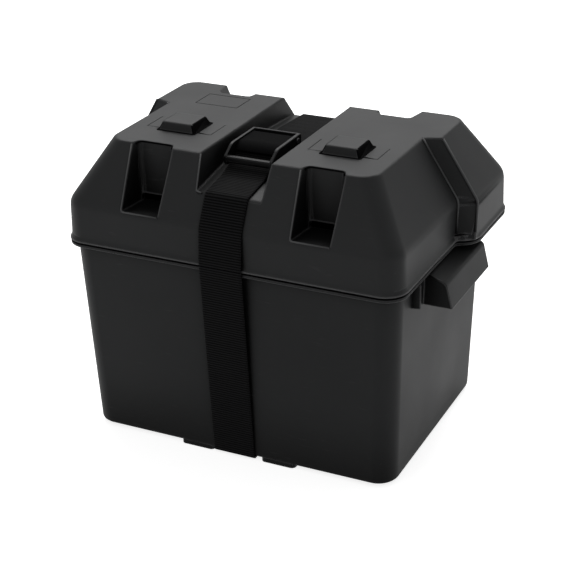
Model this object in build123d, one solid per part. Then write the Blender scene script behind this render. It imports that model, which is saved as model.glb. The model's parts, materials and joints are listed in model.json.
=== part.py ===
from build123d import *
import math
import os

# Battery box with a lift-off lid, held shut by one strap with a cam-lever buckle.
# Millimetres, +Z up, +X along the long side, front at -Y.
# The origin is on the floor, under the middle of the bin.

# Bin
bin_end_draft = 5.6
bin_side_draft = 5.7
mouth_end_clearance = 0.7
mouth_side_clearance = 0.6
bin_corner_radius = 18.0
bin_bottom_edge_radius = 3.0
bin_bottom_edge_facets = 3
bin_wall = 3.0
bin_floor = 3.5
foot_height = 3.0
foot_reach = 54.0
foot_corner_radius = 4.0
flange_thickness = 3.0
flange_setback = 0.8
lip_height = 8.0
lip_gap = 0.6

# Lid
rim_height = 178.2
lid_gap = 0.3
lid_wall = 3.0
bead_height = 6.0
bead_depth = 1.9
skirt_height = 33.8
hump_height = 51.5
skirt_length = 300.6
skirt_width = 220.6
skirt_draft = 0.7
bulge = 15.7
lid_corner_radius = 18.0
top_length = 237.0
top_bulge = 15.0
top_width = 163.6
top_edge_chamfer = 1.1
bead_chamfer = 0.8
# the end step, where the lid widens behind the middle
step_y = 15.2
step_angle = 22.0
step_lean = 9.9
step_inner_radius = 6.0
step_outer_radius = 19.0
wedge_reach = 60.0
# the lower rear face between the two inner edges of the humps
rear_setback = 12.0

# Valley for the strap
valley_top_width = 62.8
valley_floor_width = 57.6
valley_front_depth = 27.6
valley_high_depth = 18.7
valley_high_y = -40.0
valley_crest_depth = 17.5
valley_crest_y = 36.0
valley_rear_depth = 20.0
valley_edge_radius = 5.0

# Cable pockets, one in each quarter of the lid
pocket_centre_x = 76.0
pocket_mouth_width = 38.4
pocket_back_width = 31.0
pocket_foot_taper = 2.4
pocket_back_top_front = 75.0
pocket_back_top_rear = 60.5
pocket_back_lean = 4.0
pocket_corner_radius = 4.0
pocket_floor_rise = 0.6
slot_width = 28.0
slot_height = 6.5

# Grip knobs, score lines and the blank label panel on the humps
knob_centre_x = 74.2
knob_centre_y = -31.6
knob_length = 34.0
knob_width = 31.0
knob_height = 7.0
knob_taper = 3.1
knob_corner_chamfer = 1.2
knob_chamfer = 0.7
score_length = 61.0
score_side = 26.0
score_front_y = -42.5
score_width = 0.9
score_depth = 0.5
label_centre_x = -76.5
label_centre_y = 40.0
label_length = 41.0
label_width = 27.0
label_line = 0.9
label_depth = 0.5

# Handle hoods on the ends of the bin
hood_length = 90.0
hood_reach = 24.2
hood_top_inset = 5.4
hood_height = 22.0
hood_drop = 6.6
hood_wall = 3.0
hood_edge_radius = 5.0

# Strap
strap_x = -1.4
strap_width = 38.1
strap_thickness = 1.6
strap_gap = 0.3
strap_spare = 0.15
strap_floor_radius = 3.2
strap_hip_radius = 8.0
strap_split_rise = 1.8
strap_split_gap = 0.3
ramp_top_y = -70.0
ramp_lift_y = -60.0
ramp_lift_drop = 1.2
ramp_end_y = -50.0
ramp_bend_radius = 10.0
floor_touch_y = 10.0

# Cam buckle
buckle_width = 44.2
buckle_rear_y = -5.0
buckle_length = 55.0
buckle_seat_gap = 0.4
buckle_height = 15.6
cheek_thickness = 2.75
cheek_flat_length = 42.5
cheek_nose_height = 7.8
cheek_corner_radius = 1.8
cheek_chamfer = 0.6
base_plate = 2.0
base_plate_length = 27.0
rail_depth = 3.3
rail_height = 3.2
front_bar_depth = 5.0
front_bar_height = 4.8
anchor_radius = 2.0
anchor_gap = 0.1
anchor_y = -38.0
anchor_height = 4.4
fold_start_y = -46.5
fold_end_y = -53.5
tail_front_y = -31.0
tail_rear_y = -4.8
tail_gap = 0.3
pin_radius = 1.5
pin_running_gap = 0.05
pin_head_radius = 2.6
pin_head_thickness = 0.8
pin_y = -12.6
pin_height = 11.0
lever_side_gap = 0.4
lever_thickness = 2.2
lever_recess = 1.2
lever_bend_y = -33.0
lever_bend_radius = 19.3
lever_bend_angle = 44.0
lever_lip_radius = 0.8
lever_rib = 1.6
lever_rib_drop = 2.0
lever_rib_front_y = -40.0
cam_tip_gap = 0.4
cam_front_y = -17.4
cam_rear_y = -13.4
cam_tooth_count = 3
tooth_height = 0.9

# Sizes, levels and slopes that follow from the ones above
mouth_length = skirt_length - 2 * (lid_wall + mouth_end_clearance)
mouth_width = skirt_width - 2 * (lid_wall + mouth_side_clearance)
base_length = mouth_length - 2 * bin_end_draft
base_width = mouth_width - 2 * bin_side_draft
top_rear_length = top_length + 2 * top_bulge
bin_bottom = foot_height
flange_top = rim_height - lid_gap
shoulder_z = rim_height + skirt_height
lid_top = shoulder_z + hump_height
shoulder_width = skirt_width - 2 * skirt_draft
side_slope = (shoulder_width - top_width) / 2 / hump_height
valley_front_z = lid_top - valley_front_depth
valley_high_z = lid_top - valley_high_depth
valley_crest_z = lid_top - valley_crest_depth
valley_rear_z = lid_top - valley_rear_depth
buckle_bottom_z = valley_crest_z + buckle_seat_gap
buckle_top_z = buckle_bottom_z + buckle_height
cheek_nose_z = buckle_bottom_z + cheek_nose_height
anchor_z = buckle_bottom_z + anchor_height
pin_z = buckle_bottom_z + pin_height
ramp_lift_z = buckle_bottom_z - ramp_lift_drop
strap_split_z = rim_height + strap_split_rise
strap_clear = strap_gap + strap_thickness / 2
strap_side_y = skirt_width / 2 + bead_depth + strap_clear + strap_spare
lever_top_z = buckle_top_z - lever_recess
big = 600.0


def rounded_outline(points, radii):
    return make_face(FilletPolyline(*points, radius=radii, close=True).edges())


def prism_along_x(points_yz, x_min, x_max):
    face = make_face(Polyline(*points_yz, close=True).edges())
    return Pos(x_min, 0, 0) * extrude(Plane.YZ * face, amount=x_max - x_min)


def prism_along_y(points_xz, y_min, y_max):
    face = make_face(Polyline(*points_xz, close=True).edges())
    return Pos(0, y_max, 0) * extrude(Plane.XZ * face, amount=y_max - y_min)


def box_between(low, high):
    size = [b - a for a, b in zip(low, high)]
    middle = [(a + b) / 2 for a, b in zip(low, high)]
    return Pos(*middle) * Box(*size)


def both_ends(part):
    return [part, mirror(part, Plane.YZ)]


def shifted_line(start, end, distance):
    # a straight line moved to the left of its own direction
    length = math.dist(start, end)
    across = (start[1] - end[1]) / length * distance
    up = (end[0] - start[0]) / length * distance
    return (start[0] + across, start[1] + up), (end[0] + across, end[1] + up)


def crossing(first, second):
    # the point where two straight lines meet
    (ax, ay), (bx, by) = first
    (cx, cy), (dx, dy) = second
    cross = (bx - ax) * (dy - cy) - (by - ay) * (dx - cx)
    share = ((cx - ax) * (dy - cy) - (cy - ay) * (dx - cx)) / cross
    return (ax + share * (bx - ax), ay + share * (by - ay))


# ---- lid -------------------------------------------------------------------------------


def step_line_y(x, z, inset):
    # the step's face is a plane that runs outwards and rearwards and leans back as it rises
    angle = math.radians(step_angle)
    back = (z - rim_height) * math.tan(math.radians(step_lean)) + inset
    return step_y + (math.sin(angle) * (x - skirt_length / 2) + back) / math.cos(angle)


def lid_section(z, length, rear_length, width, radius, step_radius, inset):
    narrow = length / 2 - inset
    wide = rear_length / 2 - inset
    half = width / 2 - inset
    right = [
        (narrow, -half, radius - inset),
        (narrow, step_line_y(narrow, z, inset), step_inner_radius + inset),
        (wide, step_line_y(wide, z, inset), step_radius - inset),
        (wide, half, radius - inset),
    ]
    left = [(-x, y, r) for x, y, r in reversed(right)]
    corners = right + left
    outline = rounded_outline([(x, y) for x, y, r in corners], [r for x, y, r in corners])
    return Pos(0, 0, z) * outline


def tapered_profile(length, top, inset, foot_z):
    # skirt, slope and top of one section, each moved in by the same thickness
    skirt_foot = (length / 2, rim_height)
    shoulder = (length / 2 - skirt_draft, shoulder_z)
    skirt_line = shifted_line(skirt_foot, shoulder, inset)
    slope_line = shifted_line(shoulder, (top / 2, lid_top), inset)
    half = [
        crossing(skirt_line, ((0, foot_z), (1, foot_z))),
        crossing(skirt_line, slope_line),
        crossing(slope_line, ((0, lid_top - inset), (1, lid_top - inset))),
    ]
    return half + [(-side, z) for side, z in reversed(half)]


def tapered_block(length, block_top_length, inset, foot_z):
    # crossing prisms give plane walls: outside one radius rounds the corners and the shoulder,
    # inside a plane across each corner keeps the wall's thickness
    across = tapered_profile(skirt_width, top_width, inset, foot_z)
    along = tapered_profile(length, block_top_length, inset, foot_z)
    block = prism_along_x(across, -big, big) & prism_along_y(along, -big, big)
    if not inset:
        middle = block.edges().filter_by(lambda e: foot_z + 1 < e.center().Z < lid_top - 1)
        return fillet(middle, lid_corner_radius)
    cut = (lid_corner_radius - inset) * (math.sqrt(2) - 1)
    half = [((x + y) / math.sqrt(2) - cut, z) for (x, z), (y, _) in zip(along[:3], across[:3])]
    slanted = prism_along_y(half + [(-side, z) for side, z in reversed(half)], -big, big)
    return block & Rot(0, 0, 45) * slanted & Rot(0, 0, -45) * slanted


def step_wedge(inset):
    # all that lies behind the step's face, at the end on the +X side
    end_x = skirt_length / 2
    angle = math.radians(step_angle)
    lean = math.tan(math.radians(step_lean))
    foot = (end_x, step_line_y(end_x, rim_height, inset), rim_height)
    face = Plane(foot, z_dir=(-math.sin(angle), math.cos(angle), -lean))
    behind = face * (Pos(0, 0, big / 2) * Box(big, big, big))
    return behind & box_between((end_x - wedge_reach, -big, 0), (end_x + wedge_reach, big, big))


def lid_body(inset, foot_z):
    body = tapered_block(skirt_length, top_length, inset, foot_z)
    wide = tapered_block(skirt_length + 2 * bulge, top_rear_length, inset, foot_z)
    for wedge in both_ends(step_wedge(inset)):
        body += wide & wedge
    return body


def front_slope():
    return (-shoulder_width / 2, shoulder_z), (-top_width / 2, lid_top)


def rear_slope():
    # the middle of the rear face slopes in further than the two outer parts
    return (top_width / 2 - rear_setback, lid_top), (shoulder_width / 2, shoulder_z)


def valley_ramp():
    front_y = -top_width / 2 - (lid_top - valley_front_z) * side_slope
    return (front_y, valley_front_z), (valley_high_y, valley_high_z)


def valley_fall():
    return (valley_crest_y, valley_crest_z), (top_width / 2, valley_rear_z)


def extended(line, reach):
    # the same straight line, carried on past its end
    (ax, ay), (bx, by) = line
    share = reach / math.dist(*line)
    return (bx + (bx - ax) * share, by + (by - ay) * share)


def valley(grow):
    half_top = valley_top_width / 2 + grow
    half_floor = valley_floor_width / 2 + grow
    lean = (half_top - half_floor) / (lid_top - valley_front_z)
    deep = valley_front_z - 40.0
    high = lid_top + 5.0
    half_deep = half_floor - lean * (valley_front_z - deep)
    half_high = half_top + lean * (high - lid_top)
    trough = prism_along_y(
        [(-half_deep, deep), (half_deep, deep), (half_high, high), (-half_high, high)], -big, big
    )
    front_y, front_z = extended(valley_ramp()[::-1], 60.0)
    rear_y, rear_z = extended(valley_fall(), 60.0)
    floor_line = [
        (front_y, front_z - grow),
        (valley_high_y, valley_high_z - grow),
        (valley_crest_y, valley_crest_z - grow),
        (rear_y, rear_z - grow),
        (rear_y, high),
        (front_y, high),
    ]
    return trough & prism_along_x(floor_line, -half_high, half_high)


def rear_recess(grow):
    (top_y, top_z), (foot_y, foot_z) = rear_slope()
    run = foot_y - top_y
    shift = grow * math.hypot(1, run / hump_height)
    over = 5.0
    line = [
        (top_y - shift - over * run / hump_height, top_z + over),
        (foot_y - shift, foot_z),
        (foot_y + over, foot_z),
        (foot_y + over, top_z + over),
    ]
    return prism_along_x(line, -pocket_centre_x, pocket_centre_x)


def eased_corner(before, corner, after, radius):
    # three points that stand for a rounded corner, so that leaning walls keep flat faces
    ways = []
    for end in (before, after):
        length = math.dist(corner, end)
        ways.append(((end[0] - corner[0]) / length, (end[1] - corner[1]) / length))
    inside = math.acos(ways[0][0] * ways[1][0] + ways[0][1] * ways[1][1])
    reach = radius / math.tan(inside / 2)
    middle = radius / math.sin(inside / 2) - radius
    half = 2 * math.cos(inside / 2)
    points = [(corner[0] + x * reach, corner[1] + y * reach) for x, y in ways]
    x, y = [(one + other) / half for one, other in zip(*ways)]
    points.insert(1, (corner[0] + x * middle, corner[1] + y * middle))
    return points


def pocket_section(z, mouth_half, mouth_y, back_half, back_y, grow):
    x = pocket_centre_x
    back_left = (x - back_half - grow, back_y + grow)
    back_right = (x + back_half + grow, back_y + grow)
    mouth_left = (x - mouth_half - grow, mouth_y)
    mouth_right = (x + mouth_half + grow, mouth_y)
    corners = [
        (x - mouth_half - grow, -skirt_width),
        (x + mouth_half + grow, -skirt_width),
        mouth_right,
        *eased_corner(mouth_right, back_right, back_left, pocket_corner_radius),
        *eased_corner(back_right, back_left, mouth_left, pocket_corner_radius),
        mouth_left,
    ]
    return Pos(0, 0, z) * make_face(Polyline(*corners, close=True).edges())


def pocket(back_top, grow):
    # a drafted notch, open to the front and the top, mirrored for the other three
    floor_z = shoulder_z + pocket_floor_rise - grow
    high = lid_top + 2.0
    mouth = pocket_mouth_width / 2
    back = pocket_back_width / 2
    foot = pocket_section(
        floor_z,
        mouth - pocket_foot_taper,
        -shoulder_width / 2,
        back - pocket_foot_taper / 2,
        -back_top - pocket_back_lean,
        grow,
    )
    head = pocket_section(high, mouth, -top_width / 2, back, -back_top, grow)
    return loft([foot, head], ruled=True)


def all_pockets(grow):
    front = pocket(pocket_back_top_front, grow)
    rear = mirror(pocket(pocket_back_top_rear, grow), Plane.XZ)
    return both_ends(front) + both_ends(rear)


def cable_slot(back_top):
    floor_z = shoulder_z + pocket_floor_rise
    back_y = -back_top - pocket_back_lean
    return box_between(
        (pocket_centre_x - slot_width / 2, back_y - lid_wall, floor_z),
        (pocket_centre_x + slot_width / 2, back_y + 3 * lid_wall, floor_z + slot_height),
    )


def all_slots():
    front = cable_slot(pocket_back_top_front)
    rear = mirror(cable_slot(pocket_back_top_rear), Plane.XZ)
    return both_ends(front) + both_ends(rear)


def knob(inset):
    lean = math.degrees(math.atan(knob_taper / knob_height))
    foot = Rectangle(knob_length - 2 * inset, knob_width - 2 * inset)
    form = extrude(foot, amount=knob_height - inset, taper=lean)
    if not inset:
        slanted = form.edges().filter_by(lambda e: 0.1 < e.center().Z < knob_height - 0.1)
        form = chamfer(slanted, knob_corner_chamfer)
        form = chamfer(form.edges().group_by(Axis.Z)[-1], knob_chamfer)
    sink = lid_wall + 1.0
    root = Box(knob_length - 2 * knob_taper - 2 * inset, knob_width - 2 * knob_taper - 2 * inset, sink)
    form += Pos(0, 0, 0.5 - sink / 2) * root
    return Pos(knob_centre_x, knob_centre_y, lid_top) * form


def score_lines():
    x_min = knob_centre_x - score_length / 2
    x_max = knob_centre_x + score_length / 2
    z_min = lid_top - score_depth
    lines = [
        box_between((x_min, score_front_y, z_min), (x_max, score_front_y + score_width, lid_top + 1)),
    ]
    for x in (x_min, x_max - score_width):
        low = (x, score_front_y, z_min)
        lines.append(box_between(low, (x + score_width, score_front_y + score_side, lid_top + 1)))
    return lines


def label_panel():
    # a plain rectangular outline with nothing inside it
    outside = Rectangle(label_length, label_width)
    inside = Rectangle(label_length - 2 * label_line, label_width - 2 * label_line)
    groove = extrude(outside - inside, amount=label_depth + 1)
    return Pos(label_centre_x, label_centre_y, lid_top - label_depth) * groove


def rim_bead():
    outline = lid_section(
        rim_height,
        skirt_length,
        skirt_length + 2 * bulge,
        skirt_width,
        lid_corner_radius,
        step_outer_radius,
        -bead_depth,
    )
    bead = extrude(outline, amount=bead_height)
    ends = bead.edges().filter_by(lambda e: abs(e.center().Z - rim_height - bead_height) < 0.01)
    return chamfer(ends, bead_chamfer)


def top_edges(form):
    return form.edges().filter_by(lambda e: abs(e.center().Z - lid_top) < 0.01)


def on_step(edge):
    middle_x = (top_length + top_bulge) / 2
    return edge.geom_type == GeomType.LINE and abs(abs(edge.center().X) - middle_x) < 2


def make_lid():
    outer = lid_body(0.0, rim_height)
    outer = outer - valley(0.0) - rear_recess(0.0)
    ends = [
        crossing(front_slope(), valley_ramp()),
        crossing(rear_slope(), valley_fall()),
    ]
    for y, z in ends:
        edge = outer.edges().filter_by(
            lambda e: abs(e.center().X) < 1 and math.hypot(e.center().Y - y, e.center().Z - z) < 0.1
        )
        outer = fillet(edge, valley_edge_radius)
    # the short edges of the two end steps come first, then the rest of the top
    outer = chamfer(top_edges(outer).filter_by(on_step), top_edge_chamfer)
    outer = chamfer(top_edges(outer).filter_by(lambda e: not on_step(e)), top_edge_chamfer)
    for cut in all_pockets(0.0):
        outer -= cut
    for form in both_ends(knob(0.0)):
        outer += form
    outer += rim_bead()
    inner = lid_body(lid_wall, rim_height - 1.0)
    for cut in [valley(lid_wall), rear_recess(lid_wall)] + all_pockets(lid_wall):
        inner -= cut
    for form in both_ends(knob(lid_wall)):
        inner += form
    lid = outer - inner
    for cut in all_slots() + score_lines() + [mirror(s, Plane.YZ) for s in score_lines()]:
        lid -= cut
    return lid - label_panel()


# ---- bin -------------------------------------------------------------------------------


def bin_section(z, inset):
    share = (z - bin_bottom) / (rim_height - bin_bottom)
    length = base_length + (mouth_length - base_length) * share - 2 * inset
    width = base_width + (mouth_width - base_width) * share - 2 * inset
    return Pos(0, 0, z) * RectangleRounded(length, width, bin_corner_radius - inset)


def bin_wall_form(z_low, z_high, inset, facets):
    # the bottom edge is rounded in a few flat steps
    sections = []
    radius = bin_bottom_edge_radius
    for step in range(facets + 1):
        turn = math.radians(90 * step / facets)
        shrink = radius * (1 - math.sin(turn))
        sections.append(bin_section(z_low + radius * (1 - math.cos(turn)), inset + shrink))
    sections.append(bin_section(z_high, inset))
    return loft(sections, ruled=True)


def flange():
    outline = lid_section(
        flange_top - flange_thickness,
        skirt_length,
        skirt_length + 2 * bulge,
        skirt_width,
        lid_corner_radius,
        step_outer_radius,
        flange_setback - bead_depth,
    )
    return extrude(outline, amount=flange_thickness)


def handle_hood():
    wall_x = mouth_length / 2 - 2.0
    outer_x = mouth_length / 2 + hood_reach
    top_z = flange_top - flange_thickness - hood_drop
    bottom_z = top_z - hood_height
    profile = [
        (wall_x - 3.0, bottom_z),
        (outer_x, bottom_z),
        (outer_x - hood_top_inset, top_z),
        (wall_x, top_z + hood_drop),
        (wall_x - 3.0, top_z + hood_drop),
    ]
    shell = prism_along_y(profile, -hood_length / 2, hood_length / 2)
    corner = shell.edges().filter_by(Axis.Y).sort_by(lambda e: e.center().X + e.center().Z)[-1]
    shell = fillet(corner, hood_edge_radius)
    return shell


def hood_hollow():
    wall_x = mouth_length / 2 - 8.0
    outer_x = mouth_length / 2 + hood_reach - hood_wall
    top_z = flange_top - flange_thickness - hood_drop - hood_wall
    bottom_z = flange_top - flange_thickness - hood_drop - hood_height
    profile = [
        (wall_x, bottom_z - 1.0),
        (outer_x, bottom_z - 1.0),
        (outer_x - hood_top_inset, top_z),
        (wall_x, top_z),
    ]
    reach = hood_length / 2 - hood_wall
    form = prism_along_y(profile, -reach, reach)
    corner = form.edges().filter_by(Axis.Y).sort_by(lambda e: e.center().X + e.center().Z)[-1]
    return fillet(corner, hood_edge_radius - hood_wall / 2)


def feet():
    channel = strap_width / 2 + abs(strap_x) + 2.0
    length = foot_reach - channel
    foot = extrude(RectangleRounded(length, base_width - 0.4, foot_corner_radius), foot_height + 1)
    return both_ends(Pos(channel + length / 2, 0, 0) * foot)


def make_bin():
    outer = bin_wall_form(bin_bottom, flange_top, 0.0, bin_bottom_edge_facets)
    lip = extrude(bin_section(flange_top, lip_gap), amount=lip_height)
    body = outer + flange() + lip
    for form in both_ends(handle_hood()):
        body += form
    for form in feet():
        body += form
    body -= bin_wall_form(bin_bottom + bin_floor, flange_top, bin_wall, 1)
    body -= extrude(bin_section(flange_top, bin_wall), amount=lip_height + 1)
    outside_hollow = hood_hollow() - bin_wall_form(bin_bottom, rim_height, 0.0, 1)
    for form in both_ends(outside_hollow):
        body -= form
    return body


# ---- strap -----------------------------------------------------------------------------


def strip(points_yz, radii):
    # a flat strap along a centre line of straight runs and bends, with square ends
    outline = []
    bends = []
    for way in (1, -1):
        half = way * strap_thickness / 2
        runs = [shifted_line(a, b, half) for a, b in zip(points_yz, points_yz[1:])]
        side = [runs[0][0]]
        rounds = [0]
        for before, after, radius in zip(runs, runs[1:], radii):
            (ay, az), (by, bz) = before
            (cy, cz), (dy, dz) = after
            turn = (by - ay) * (dz - cz) - (bz - az) * (dy - cy)
            side.append(crossing(before, after))
            rounds.append(radius - math.copysign(strap_thickness / 2, turn * way))
        side.append(runs[-1][1])
        rounds.append(0)
        outline += side[::way]
        bends += rounds[::way]
    ribbon = extrude(Plane.YZ * rounded_outline(outline, bends), amount=strap_width)
    return Pos(strap_x - strap_width / 2, 0, 0) * ribbon


def mirrored_y(point):
    return (-point[0], point[1])


def strap_under():
    # below the bin, between its feet, and up both sides to the rim
    low_y = base_width / 2 + strap_clear + strap_gap
    top = (strap_side_y, strap_split_z - strap_split_gap / 2)
    low = (low_y, bin_bottom - strap_clear)
    points = [mirrored_y(top), mirrored_y(low), low, top]
    return strip(points, [strap_floor_radius, strap_floor_radius])


def strap_front():
    # up the front, along the ramp and round the buckle's anchor bar, folded back on itself
    slope = shifted_line(*front_slope(), strap_clear)
    ramp = shifted_line(*valley_ramp(), strap_clear)
    skirt = shifted_line((-skirt_width / 2, rim_height), front_slope()[0], strap_clear)
    shoulder = crossing(skirt, slope)
    brow = crossing(slope, ramp)
    ramp_z = crossing(ramp, ((ramp_top_y, 0), (ramp_top_y, 1)))[1]
    loop = anchor_radius + anchor_gap + strap_thickness / 2
    low_z = anchor_z - loop
    fold_z = low_z + strap_thickness + anchor_gap
    reach = math.dist((fold_start_y, fold_z), (anchor_y, anchor_z))
    rise = math.asin(loop / reach) + math.atan2(anchor_z - fold_z, anchor_y - fold_start_y)
    rear_y = anchor_y + loop
    crown_z = fold_z + (rear_y - fold_start_y) * math.tan(rise)
    bend = loop * 0.99
    corners = [
        (-strap_side_y, strap_split_z + strap_split_gap / 2, None),
        (-strap_side_y, rim_height + bead_height + 1, 30.0),
        (*shoulder, lid_corner_radius + strap_clear),
        (*brow, valley_edge_radius + strap_clear),
        (ramp_top_y, ramp_z, ramp_bend_radius),
        (ramp_lift_y, ramp_lift_z, ramp_bend_radius),
        (ramp_end_y, low_z, ramp_bend_radius),
        (rear_y, low_z, bend),
        (rear_y, crown_z, bend),
        (fold_start_y, fold_z, ramp_bend_radius),
        (fold_end_y, fold_z, None),
    ]
    return strip([(y, z) for y, z, r in corners], [r for y, z, r in corners[1:-1]])


def tail_centre_z():
    return buckle_bottom_z + base_plate + strap_clear


def strap_tail():
    # the free end, lying under the cam
    length = tail_rear_y - tail_front_y
    middle_y = (tail_rear_y + tail_front_y) / 2
    return Pos(strap_x, middle_y, tail_centre_z()) * Box(strap_width, length, strap_thickness)


def strap_rear():
    # from the buckle along the floor of the valley and down the rear
    slope = shifted_line(*rear_slope(), strap_clear)
    fall = shifted_line(*valley_fall(), strap_clear)
    skirt = shifted_line(rear_slope()[1], (skirt_width / 2, rim_height), strap_clear)
    shoulder = crossing(slope, skirt)
    brow = crossing(fall, slope)
    floor = ((valley_high_y, valley_high_z), (valley_crest_y, valley_crest_z))
    touch = crossing(
        shifted_line(*floor, strap_clear), ((floor_touch_y, 0), (floor_touch_y, 1))
    )
    crest = crossing(shifted_line(*floor, strap_clear), fall)
    corners = [
        (tail_rear_y + tail_gap, tail_centre_z(), None),
        (*touch, ramp_bend_radius),
        (*crest, ramp_bend_radius),
        (*brow, valley_edge_radius + strap_clear),
        (*shoulder, strap_hip_radius),
        (strap_side_y, rim_height + bead_height + 1, 30.0),
        (strap_side_y, strap_split_z + strap_split_gap / 2, None),
    ]
    return strip([(y, z) for y, z, r in corners], [r for y, z, r in corners[1:-1]])


# ---- cam buckle ------------------------------------------------------------------------


def across_buckle(points_yz, radii, width, x_middle=0.0):
    # a rounded profile carried across the buckle
    face = rounded_outline(points_yz, radii)
    block = extrude(Plane.YZ * face, amount=width)
    return Pos(strap_x + x_middle - width / 2, 0, 0) * block


def rod_across(y, z, radius, width):
    return Pos(strap_x, y, z) * Rot(0, 90, 0) * Cylinder(radius, width)


def cheek(side):
    front_y = buckle_rear_y - buckle_length
    corner = cheek_corner_radius
    profile = [
        (buckle_rear_y, buckle_bottom_z),
        (buckle_rear_y, buckle_top_z),
        (buckle_rear_y - cheek_flat_length, buckle_top_z),
        (front_y, cheek_nose_z),
        (front_y, buckle_bottom_z),
    ]
    middle = side * (buckle_width - cheek_thickness) / 2
    plate = across_buckle(profile, [corner, corner, 12.0, corner, 3.0], cheek_thickness, middle)
    outer_x = strap_x + side * buckle_width / 2
    rim = plate.edges().filter_by(lambda e: abs(e.center().X - outer_x) < 0.01)
    return chamfer(rim, cheek_chamfer)


def buckle_frame():
    front_y = buckle_rear_y - buckle_length
    inner = buckle_width - 2 * cheek_thickness + 1.0
    half = inner / 2
    frame = cheek(-1) + cheek(1)
    frame += box_between(
        (strap_x - half, buckle_rear_y - base_plate_length, buckle_bottom_z),
        (strap_x + half, buckle_rear_y - 0.5, buckle_bottom_z + base_plate),
    )
    rail_low = buckle_top_z - rail_height
    rail_front = buckle_rear_y - rail_depth
    rail = [
        (buckle_rear_y, rail_low),
        (buckle_rear_y, buckle_top_z),
        (rail_front, buckle_top_z),
        (rail_front, rail_low),
    ]
    frame += across_buckle(rail, [0.6, cheek_corner_radius, 0.6, 0.6], inner)
    bar_low = cheek_nose_z - front_bar_height
    bar = [
        (front_y, bar_low),
        (front_y, cheek_nose_z),
        (front_y + front_bar_depth, cheek_nose_z + 0.1),
        (front_y + front_bar_depth, bar_low),
    ]
    frame += across_buckle(bar, [1.2, 1.6, 1.2, 1.2], inner)
    frame += rod_across(anchor_y, anchor_z, anchor_radius, inner)
    return frame - rod_across(pin_y, pin_z, pin_radius + pin_running_gap, buckle_width + 2)


def buckle_pin():
    pin = rod_across(pin_y, pin_z, pin_radius, buckle_width + pin_head_thickness)
    for side in (-1, 1):
        middle = side * (buckle_width / 2 + strap_gap / 2 + pin_head_thickness / 2)
        head = Pos(strap_x + middle, pin_y, pin_z) * Rot(0, 90, 0)
        head = head * Cylinder(pin_head_radius, pin_head_thickness)
        outer_x = strap_x + middle + side * pin_head_thickness / 2
        rim = head.edges().filter_by(lambda e: abs(e.center().X - outer_x) < 0.01)
        pin += chamfer(rim, pin_head_thickness / 2)
    return pin


def lever_rib_form(middle):
    plate_low = lever_top_z - lever_thickness
    ribs = [
        (pin_y, plate_low + 0.5),
        (pin_y, plate_low - lever_rib_drop),
        (lever_bend_y, plate_low - lever_rib_drop),
        (lever_rib_front_y, plate_low - lever_rib_drop),
        (lever_rib_front_y, plate_low - lever_rib_drop / 2),
        (lever_bend_y, plate_low + 0.5),
    ]
    return across_buckle(ribs, [0] * 6, lever_rib, middle)


def buckle_lever():
    width = buckle_width - 2 * cheek_thickness - 2 * lever_side_gap
    hub = lever_top_z - pin_z
    plate_low = lever_top_z - lever_thickness
    half = width / 2
    lever = rod_across(pin_y, pin_z, hub, width)
    lever += box_between(
        (strap_x - half, lever_bend_y, plate_low), (strap_x + half, pin_y, lever_top_z)
    )
    # the front of the plate bends down to its lip
    centre_z = lever_top_z - lever_bend_radius
    turn = math.radians(lever_bend_angle)
    lip = (math.sin(turn), math.cos(turn))
    half_way = (math.sin(turn / 2), math.cos(turn / 2))
    low = lever_bend_radius - lever_thickness

    def on_bend(way, radius):
        return (lever_bend_y - way[0] * radius, centre_z + way[1] * radius)

    outline = [
        ThreePointArc(
            (lever_bend_y, lever_top_z),
            on_bend(half_way, lever_bend_radius),
            on_bend(lip, lever_bend_radius),
        ),
        Line(on_bend(lip, lever_bend_radius), on_bend(lip, low)),
        ThreePointArc(on_bend(lip, low), on_bend(half_way, low), (lever_bend_y, plate_low)),
        Line((lever_bend_y, plate_low), (lever_bend_y, lever_top_z)),
    ]
    bend = extrude(Plane.YZ * make_face(outline), amount=width)
    bend = Pos(strap_x - half, 0, 0) * bend
    tip_edges = bend.edges().filter_by(Axis.X).sort_by(Axis.Y)[:2]
    lever += fillet(tip_edges, lever_lip_radius)
    # the cam with its teeth
    tip_z = tail_centre_z() + strap_thickness / 2 + cam_tip_gap
    pitch = (cam_rear_y - cam_front_y) / cam_tooth_count
    cam = [(cam_rear_y, pin_z)]
    for tooth in range(cam_tooth_count):
        start_y = cam_rear_y - tooth * pitch
        cam.append((start_y, tip_z + tooth_height))
        cam.append((start_y - pitch / 2, tip_z))
    cam.append((cam_front_y, tip_z + tooth_height))
    cam.append((cam_front_y - 1.5, plate_low + 0.5))
    lever += prism_along_x(cam, strap_x - half, strap_x + half)
    for side in (-1, 0, 1):
        lever += lever_rib_form(side * (width - lever_rib) / 2)
    return lever - rod_across(pin_y, pin_z, pin_radius + pin_running_gap, width + 2)


# ---- files -----------------------------------------------------------------------------

os.makedirs("parts", exist_ok=True)
export_step(make_bin(), "parts/bin.step")
export_step(make_lid(), "parts/lid.step")
export_step(strap_under(), "parts/strap_under.step")
export_step(strap_front(), "parts/strap_front.step")
export_step(strap_tail(), "parts/strap_tail.step")
export_step(strap_rear(), "parts/strap_rear.step")
export_step(buckle_frame(), "parts/buckle_frame.step")
export_step(buckle_lever(), "parts/buckle_lever.step")
export_step(buckle_pin(), "parts/buckle_pin.step")
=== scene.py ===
import bmesh
import bpy
import json
import math
from mathutils import Matrix, Vector
from mathutils.bvhtree import BVHTree

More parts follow.
